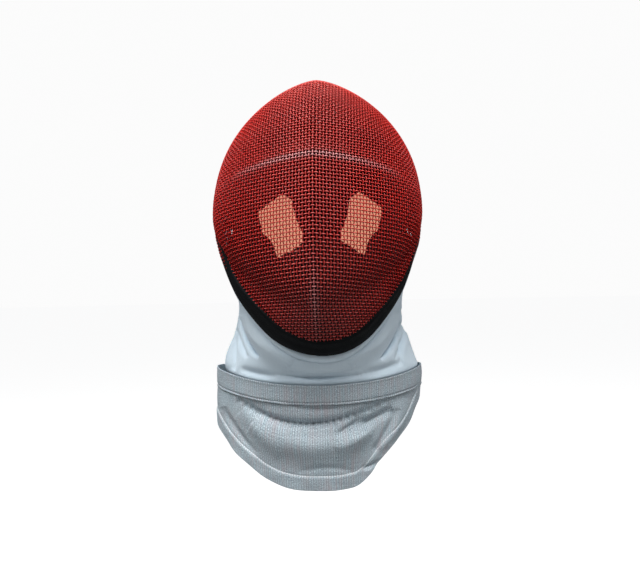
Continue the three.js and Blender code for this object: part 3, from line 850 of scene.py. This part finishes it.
def wire_mesh(name, runs, painted_light_scale):
    """Six-sided tubes along every run, joined in one mesh; the last argument scales the crest that sets
    the enamel's painted highlight and painted shade.
    """
    points, faces, crest, start = [], [], [], 0
    turns = np.linspace(0, 2 * math.pi, WIRE_SIDES, endpoint=False)[:, None]
    k = np.arange(WIRE_SIDES)
    for rings, facing, over in runs:
        tangent = np.gradient(rings, axis=0)
        tangent /= np.linalg.norm(tangent, axis=1)[:, None] + 1e-12
        side = np.cross(tangent, facing)
        side /= np.linalg.norm(side, axis=1)[:, None] + 1e-12
        up = np.cross(side, tangent)
        spoke = np.cos(turns) * up[:, None, :] + np.sin(turns) * side[:, None, :]
        points.append((rings[:, None, :] + WIRE_RADIUS * spoke).reshape(-1, 3))
        # crest is high on the outward side of wires that lie over, for the painted highlight, and low on
        # inner sides and under-crossings, for the painted shade
        outward = 0.5 + 0.5 * np.cos(turns[:, 0])
        crest.append((painted_light_scale * (0.35 + 0.65 * over[:, None]) * outward).ravel())
        base = start + WIRE_SIDES * np.arange(len(rings) - 1)[:, None]
        turned = (k + 1) % WIRE_SIDES
        wall = np.stack([base + k, base + turned, base + WIRE_SIDES + turned, base + WIRE_SIDES + k], -1)
        faces += wall.reshape(-1, 4).tolist()
        last = start + WIRE_SIDES * (len(rings) - 1)
        faces += [(start + k[::-1]).tolist(), (last + k).tolist()]
        start += WIRE_SIDES * len(rings)
    obj = mesh_from_arrays(name, np.concatenate(points), faces)
    set_crest(obj, np.concatenate(crest))
    face_outwards(obj)
    return obj


def front_rows():
    """Keel points a pitch apart from under the chin to the seam, and how each row tilts."""
    angles = np.linspace(-68, 100, 900)
    keel = evenly(keel_point(angles), spacing=ROW_PITCH)
    keel = keel[keel[:, 0] < SEAM_Y]
    tilt_keys = np.array([-262, -225, -200, -170, -135, -70, -40, -17, 7, 16], float)
    tilts = np.array([-4, 0, 5, 9, 10, 10, 12, 17, 31, 38], float)
    tilt = np.radians(through(tilt_keys, tilts, keel[:, 1]))
    return keel, np.stack([np.cos(tilt), -np.sin(tilt)], -1)


def back_rows():
    """Keel points from the seam down the back, with rows that run down and forward."""
    angles = np.linspace(93, 176, 700)
    keel = evenly(keel_point(angles), spacing=ROW_PITCH)
    keel = keel[keel[:, 0] > SEAM_Y - ROW_PITCH]
    share = np.linspace(0, 1, len(keel))
    slope = np.radians(52 - 17 * share)
    return keel, np.stack([-np.cos(slope), -np.sin(slope)], -1)


def weave_panel(prefix, node, rows, in_front):
    """One side's cross wires and long wires, from the seam to under the trim."""
    anchors, directions = rows
    net = woven_net(anchors, directions, 66)
    normal = net_normals(net)
    y = np.nan_to_num(net[..., 1], nan=999.0)
    z = np.nan_to_num(net[..., 2], nan=-999.0)
    x = np.nan_to_num(net[..., 0])
    keep = ~np.isnan(net[..., 0]) & (trim_shift(y, z) - sag_shift(x, y) > -WEAVE_LAP)
    keep &= (y < SEAM_Y) if in_front else (y > SEAM_Y)
    across = wire_mesh(prefix + "_cross_wires", wire_runs(net, normal, keep, 0), CROSS_PAINTED_LIGHT)
    turned = [np.swapaxes(a, 0, 1) for a in (net, normal, keep)]
    down = wire_mesh(prefix + "_long_wires", wire_runs(*turned, 1), LONG_PAINTED_LIGHT)
    finish_piece(across, ENAMEL, "enamelled_mesh", node)
    finish_piece(down, ENAMEL, "enamelled_mesh", node)


def seam_bead():
    """The rod that both panels are joined to over the top of the head."""
    z = np.linspace(keel_point(np.array([95.0]))[0, 1] + 6, -140, 1200)
    width = half_width(np.full_like(z, SEAM_Y), z)
    arc = np.stack([width, np.full_like(z, SEAM_Y), z], -1)[width > 0]
    top = arc[0] * (0, 1, 1)
    arc = np.vstack([arc[::-1], top, arc * (-1, 1, 1)])
    arc = arc[trim_shift(arc[:, 1], arc[:, 2]) - sag_shift(arc[:, 0], arc[:, 1]) > -WEAVE_LAP]
    bead = round_rod("crown_seam", evenly(arc, count=180), SEAM_RADIUS)
    set_crest(bead, 0.6)
    finish_piece(bead, ENAMEL, "enamelled_mesh")


# ---------------------------------------------------------------- edge trim
def edge_curve(side, shift, offset, count):
    """One half of a line that follows the trim, moved by shift in side view, on the bowl
    grown by offset: from the middle of the chin to the middle of the back. side is 1 or -1."""
    path = evenly(np.hstack([TRIM_PATH, TRIM_INWARD]), count=1600)
    line, inward = path[:, :2], path[:, 2:]
    first_guess = line + inward * shift
    width = np.maximum(half_width(first_guess[:, 0], first_guess[:, 1], offset), 0)
    line = line + inward * (shift + sag_shift(side * width, first_guess[:, 0]))[:, None]
    snug = np.minimum(offset, 0.7) - offset
    width = half_width(line[:, 0], line[:, 1], offset) + snug * smooth_step(70, 96, width)
    inside = np.flatnonzero(width > 0)
    curve = np.stack([side * width, line[:, 0], line[:, 1]], -1)[inside[0]:inside[-1] + 1]
    start, end = curve[0] * (0, 1, 1), curve[-1] * (0, 1, 1)
    return evenly(np.vstack([start, curve, end]), count=count)


def both_sides(shift, offset, count):
    """The trim's right half and then its left half, as one closed loop."""
    left = edge_curve(-1, shift, offset, count)
    return np.vstack([edge_curve(1, shift, offset, count), left[-2:0:-1]])


TRIM_SECTION = [
    # shift across the band, offset off the bowl
    (9.3, 0.2), (9.3, 2.0), (8.4, 2.6), (5.5, 2.15), (2.5, 1.75), (1.5, 1.75), (-2.0, 2.1),
    (-6.0, 2.0), (-8.3, 1.6), (-9.3, 0.5), (-9.5, -1.3), (-9.1, -2.9), (-8.0, -3.9),
    (-5.0, -4.1), (0.0, -4.1), (5.0, -4.1), (8.2, -3.9), (8.9, -3.4), (9.0, -2.6),
]


def edge_trim():
    loops = [both_sides(shift, offset, 190) for shift, offset in TRIM_SECTION]
    grid = np.stack(loops, 1)
    middle = np.vstack([grid[:, 4], grid[:1, 4]])
    run = np.concatenate([[0], np.cumsum(np.linalg.norm(np.diff(middle, axis=0), axis=1))])
    section = np.array(TRIM_SECTION + TRIM_SECTION[:1])
    across = np.concatenate([[0], np.cumsum(np.linalg.norm(np.diff(section, axis=0), axis=1))])
    trim = shaped_ring("edge_binding", grid, run, across)
    face_outwards(trim)
    apply_modifier(trim, "SUBSURF", levels=1, render_levels=1)
    finish_piece(trim, BINDING, "black_trim", "edge_trim")


# ---------------------------------------------------------------- padding
# the wings' lower ends are drawn in between these heights, and higher up behind these depths
TUCK_HEIGHTS = (-150, -173)
TUCK_REAR_HEIGHTS = (-126, -142)
TUCK_REAR_DEPTHS = (0, 20)


def padded_copy(node, name, voxel, shrink, cap, tuck=0.0):
    """A stuffed piece from a node's outer form, less shrink: a fine skin that is blown up as
    cloth, by cap at most. Its lower end is drawn in by tuck, so that it stays in the bib."""
    pad = bpy.data.objects.new(name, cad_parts[node].data.copy())
    bpy.context.scene.collection.objects.link(pad)
    activate(pad)
    bpy.ops.object.mode_set(mode="EDIT")
    bpy.ops.mesh.select_all(action="SELECT")
    bpy.ops.mesh.remove_doubles(threshold=1e-5)
    bpy.ops.object.mode_set(mode="OBJECT")
    apply_modifier(pad, "REMESH", mode="VOXEL", voxel_size=voxel * MM)
    outward = np.array([v.normal for v in pad.data.vertices])
    rest = read_points(pad) - outward * shrink
    depth, height = rest[:, 1], rest[:, 2]
    drawn = smooth_step(*TUCK_REAR_HEIGHTS, height) * smooth_step(*TUCK_REAR_DEPTHS, depth)
    drawn = np.maximum(drawn, smooth_step(*TUCK_HEIGHTS, height))
    rest[:, 0] -= np.sign(rest[:, 0]) * tuck * drawn
    write_points(pad, rest)
    cloth = pad.modifiers.new("Cloth", "CLOTH")
    cloth.settings.use_pressure = True
    cloth.settings.uniform_pressure_force = 4
    cloth.settings.effector_weights.gravity = 0
    for step in range(1, 21):
        bpy.context.scene.frame_set(step)
    activate(pad)
    bpy.ops.object.modifier_apply(modifier=cloth.name)
    bpy.context.scene.frame_set(1)
    moved = read_points(pad) - rest
    reach = np.linalg.norm(moved, axis=1)[:, None] + 1e-9
    write_points(pad, rest + moved * np.minimum(1, cap / reach))
    apply_modifier(pad, "SUBSURF", levels=1, render_levels=1)
    pad.data.shade_smooth()
    finish_piece(pad, LINING, "black_padding", node)


TONGUE_THICKNESS = 3.5
TONGUE_BOW = 0.0105
TONGUE_ROWS = np.array([
    # height, depth, half-width: the strip from its root in the crown to the head pad
    (-66, 98.2, 26), (-76, 99.3, 30), (-79.5, 99.5, 42), (-84, 99.5, 43.5), (-91, 99.5, 31.5),
    (-105, 99.2, 29.5), (-116, 99, 26), (-127, 99, 21), (-150, 98.6, 20),
], float)


def tongue_sleeve():
    """The sprung strip in its cloth sleeve, shaped from a finely cut cube."""
    deselect()
    bpy.ops.mesh.primitive_cube_add(size=2)
    sleeve = named("tongue_sleeve")
    bpy.ops.object.mode_set(mode="EDIT")
    bpy.ops.mesh.subdivide(number_cuts=29)
    bpy.ops.object.mode_set(mode="OBJECT")
    unit = read_points(sleeve) * MM
    top, bottom = TONGUE_ROWS[0, 0], TONGUE_ROWS[-1, 0]
    height = bottom + (unit[:, 2] + 1) / 2 * (top - bottom)
    depth = through(-TONGUE_ROWS[:, 0], TONGUE_ROWS[:, 1], -height)
    half = np.interp(-height, -TONGUE_ROWS[:, 0], TONGUE_ROWS[:, 2])
    across = unit[:, 0] * half
    rounded = np.sqrt(1 - 0.75 * np.abs(unit[:, 0]) ** 8)
    thick = TONGUE_THICKNESS / 2 * unit[:, 1] * rounded
    write_points(sleeve, np.stack([across, depth - TONGUE_BOW * across**2 + thick, height], -1))
    face_outwards(sleeve)
    finish_piece(sleeve, LINING, "black_padding", "tongue")


# ---------------------------------------------------------------- bib and lame panel
BIB_WAIST = {"half_width": 94.0, "depth": 70.0, "y": 12.0, "z_front": -276.0, "z_side": -265.0}
BIB_HEM = {"half_width": 95.0, "depth": 68.0, "y": 12.0, "z_front": -371.0, "rise": 64.0, "power": 2.8}
# drawn in on the left and on the right
BIB_NECK_PINCH = (15.5, 14.5)
# the hem hangs lower on one side and is drawn up on the other
BIB_HEM_HANG = (9.0, 16.0)


def bib_top(side, count):
    curve = edge_curve(side, -TRIM_HALF_WIDTH + 0.4, -3.2, 800) * (side, 1, 1)
    curve = curve[curve[:, 1] < BIB_REAR_Y]
    return evenly(curve, count=count)


def neck_line(level, turn):
    a = np.radians(turn)
    x = level["half_width"] * np.sin(a) ** 0.92
    return x, level["y"] - level["depth"] * np.cos(a)


def bib_guides(side_sign, columns):
    """Top, neck, waist and hem of the bib for each turn round the neck, one side."""
    turn = np.linspace(0, BIB_TURN, columns)
    top = bib_top(side_sign, columns)
    side = np.sin(np.radians(turn)) ** 2
    wx, wy = neck_line(BIB_WAIST, turn)
    wz = BIB_WAIST["z_front"] + (BIB_WAIST["z_side"] - BIB_WAIST["z_front"]) * side
    hx, hy = neck_line(BIB_HEM, turn)
    out = np.where(turn > 90, 1, hx / BIB_HEM["half_width"])
    hz = BIB_HEM["z_front"] + BIB_HEM["rise"] * out ** BIB_HEM["power"]
    if side_sign > 0:
        hz += BIB_HEM_HANG[1] * smooth_step(28, 64, hx)
    else:
        hz -= BIB_HEM_HANG[0] * smooth_step(54, 90, hx)
    waist, hem = np.stack([wx, wy, wz], -1), np.stack([hx, hy, hz], -1)
    neck = (top + waist) / 2
    neck[:, 0] -= (BIB_NECK_PINCH[0] if side_sign < 0 else BIB_NECK_PINCH[1]) * side
    return [top, neck, waist, hem]


def bib_half(side, start, end, rows, columns):
    guides = bib_guides(side, columns)
    level = np.linspace(start, end, rows)
    half = np.empty((rows, columns, 3))
    for j in range(columns):
        for k in range(3):
            values = np.array([g[j, k] for g in guides])
            half[:, j, k] = through(np.arange(4.0), values, level)
    return half * (side, 1, 1)


def bib_surface(start, end, rows, columns):
    """Grid of points between two levels: 0 the top edge, 2 the waist, 3 the hem."""
    left = bib_half(-1, start, end, rows, columns)
    right = bib_half(1, start, end, rows, columns)
    return np.concatenate([left[:, :0:-1], right], axis=1)


def grid_normals(grid):
    across = np.gradient(grid, axis=1)
    down = np.gradient(grid, axis=0)
    normal = np.cross(across, down)
    normal /= np.linalg.norm(normal, axis=-1, keepdims=True) + 1e-12
    away = grid - np.array([0, 20, 0])
    away[..., 2] = 0
    return normal * np.sign((normal * away).sum(-1, keepdims=True))


def fold_depth(grid, folds):
    """Sum of folds, each a bent line in front view with a width and a depth off the cloth."""
    x, z = grid[..., 0], grid[..., 2]
    total = np.zeros_like(x)
    ahead = smooth_step(60, 20, grid[..., 1])
    for x0, z0, xm, zm, x1, z1, width, depth in folds:
        t = np.linspace(0, 1, 25)[:, None]
        a, b, c = np.array([x0, z0]), np.array([xm, zm]), np.array([x1, z1])
        middle = 2 * b - (a + c) / 2
        line = (1 - t) ** 2 * a + 2 * t * (1 - t) * middle + t**2 * c
        gap = np.stack([x, z], -1)[..., None, :] - line
        reach = np.linalg.norm(gap, axis=-1)
        near = reach.argmin(-1)
        taper = np.sin(np.pi * np.clip(near / 24, 0, 1)) ** 0.6
        total += depth * taper * np.exp(-(reach.min(-1) / width) ** 2)
    return total * ahead


BIB_FOLDS = [
    # front view: start x z, middle x z, end x z, width, depth (minus is a valley)
    (-76, -214, -67, -236, -54, -251, 1.9, -8.0),
    (-80, -226, -74, -240, -66, -252, 2.2, -3.5),
    (78, -222, 69, -240, 56, -255, 1.9, -8.0),
    (84, -226, 79, -240, 70, -256, 2.0, -4.0),
    (80, -208, 82, -222, 74, -236, 2.4, -4.5),
    (-68, -210, -52, -234, -22, -254, 7.0, 4.5),
    (70, -212, 54, -236, 26, -254, 7.0, 4.5),
    (-81, -230, -80, -248, -81, -266, 1.8, -2.6),
    (75, -220, 76, -240, 75, -264, 1.8, -2.6),
    (-88, -235, -91, -250, -89, -264, 6.0, 2.0),
    (88, -225, 91, -245, 88, -262, 6.0, -0.6),
    (-76, -262, -56, -266, -36, -267, 4.0, -3.0),
    (78, -258, 58, -264, 38, -267, 4.0, -3.0),
    (-40, -266, 0, -269, 40, -267, 2.6, -4.0),
]


def cloth_uv(grid):
    across = np.concatenate([np.zeros((grid.shape[0], 1)),
                             np.cumsum(np.linalg.norm(np.diff(grid, axis=1), axis=-1), axis=1)], 1)
    across -= across[:, across.shape[1] // 2][:, None]
    down = np.concatenate([np.zeros((1, grid.shape[1])),
                           np.cumsum(np.linalg.norm(np.diff(grid, axis=0), axis=-1), axis=0)], 0)
    return np.stack([across * MM, down * MM], -1)


def ridge(distance, middle, width):
    return np.exp(-(((distance - middle) / width) ** 2))


def bib():
    """White cloth from under the trim to the hem, with a rolled and stitched top edge."""
    level = np.linspace(0, 2.95, 120)[:, None]
    grid = bib_surface(0, 2.95, 120, 121)
    normal = grid_normals(grid)
    uv = cloth_uv(grid)
    down = uv[..., 1] / MM
    roll = 2.4 * ridge(down, 5.2, 3.4) - 1.2 * ridge(down, 0.0, 1.6) - 0.8 * ridge(down, 10.0, 1.1)
    folds = fold_depth(grid, BIB_FOLDS) * smooth_step(6, 14, down) * smooth_step(2.15, 1.9, level)
    tucked = -9.5 * smooth_step(1.97, 2.14, level)
    shaped = grid + normal * (roll + folds + tucked)[..., None]
    cloth = shaped_grid("bib_cloth", shaped, cloth=uv)
    apply_modifier(cloth, "SOLIDIFY", thickness=2.2 * MM, offset=0)
    face_outwards(cloth)
    finish_piece(cloth, WHITE_CLOTH, "white_cloth", "bib")


LAME_FOLDS = [
    (-77, -288, -12, -311, 66, -289, 3.8, -7.0),
    (-60, -308, -9, -331, 44, -314, 12.0, 7.0),
    (40, -305, 28, -313, 14, -321, 3.2, -5.0),
    (28, -317, 46, -309, 66, -300, 4.2, -6.0),
    (14, -334, 30, -326, 48, -316, 5.0, 3.5),
    (-72, -300, -52, -320, -34, -340, 8.0, 3.0),
    (36, -352, 48, -349, 60, -344, 2.2, -3.6),
    (40, -357, 52, -353, 62, -347, 2.6, 3.0),
    (-90, -300, -76, -322, -56, -340, 3.2, -2.6),
    (-20, -354, 6, -350, 30, -355, 2.6, -2.0),
    (78, -292, 66, -318, 52, -336, 7.0, 3.0),
    (70, -300, 58, -322, 46, -338, 3.0, -2.6),
    (-30, -292, -4, -297, 24, -296, 3.0, -1.8),
]


def lame_panel():
    """Silver panel over the lower bib: a deep top hem, a stitched bottom hem and slack folds."""
    grid = bib_surface(1.99, 3.0, 150, 121)
    normal = grid_normals(grid)
    uv = cloth_uv(grid)
    down = uv[..., 1] / MM
    up = down[-1][None, :] - down
    turn = np.linspace(-1, 1, grid.shape[1]) * BIB_TURN
    left, right = (smooth_step(45, 95, s * turn)[None, :] for s in (-1, 1))
    flare = 6.6 * left + right * (3.6 * smooth_step(30, 2, down) - 2.6) - 1.0 * ridge(down, 16, 9) * left
    hem = 1.8 * (1 - 0.8 * (left + right)) * smooth_step(18.9, 17.7, down)
    hem += 1.0 * smooth_step(13.6, 12.4, up)
    free = smooth_step(2, 16, down) * (0.3 + 0.7 * smooth_step(0, 10, up))
    slack = fold_depth(grid, LAME_FOLDS) * free
    sewn = -1.1 * ridge(down, 16.2, 0.8) - 0.8 * ridge(up, LAME_HEM_SEWN, 0.9)
    ripple = 0.5 * np.sin(uv[..., 0] / MM / 5.3) * smooth_step(8, 0, up) + 0.35 * ridge(down, 0.8, 1.2)
    shaped = grid + normal * (2.1 + flare + hem + slack + sewn + ripple)[..., None]
    from_hem = np.stack([uv[..., 0], up * MM], -1)
    panel = shaped_grid("lame_panel", shaped, cloth=uv, hem=from_hem)
    apply_modifier(panel, "SOLIDIFY", thickness=1.2 * MM, offset=0)
    face_outwards(panel)
    finish_piece(panel, LAME, "silver_lame", "bib_lame")


# ---------------------------------------------------------------- build
make_camera()
make_stage()
weave_panel("front", "front_mesh", front_rows(), True)
weave_panel("back", "back_mesh", back_rows(), False)
seam_bead()
edge_trim()
padded_copy("crown_pad", "crown_padding", voxel=3.6, shrink=0.9, cap=1.6)
for side in ("right", "left"):
    padded_copy("side_wing_" + side, "side_wing_padding_" + side,
                voxel=2.6, shrink=-1.5, cap=3.4, tuck=7.0)
padded_copy("head_pad", "head_pad_cushion", voxel=3.0, shrink=0.6, cap=4.2)
tongue_sleeve()
bib()
lame_panel()
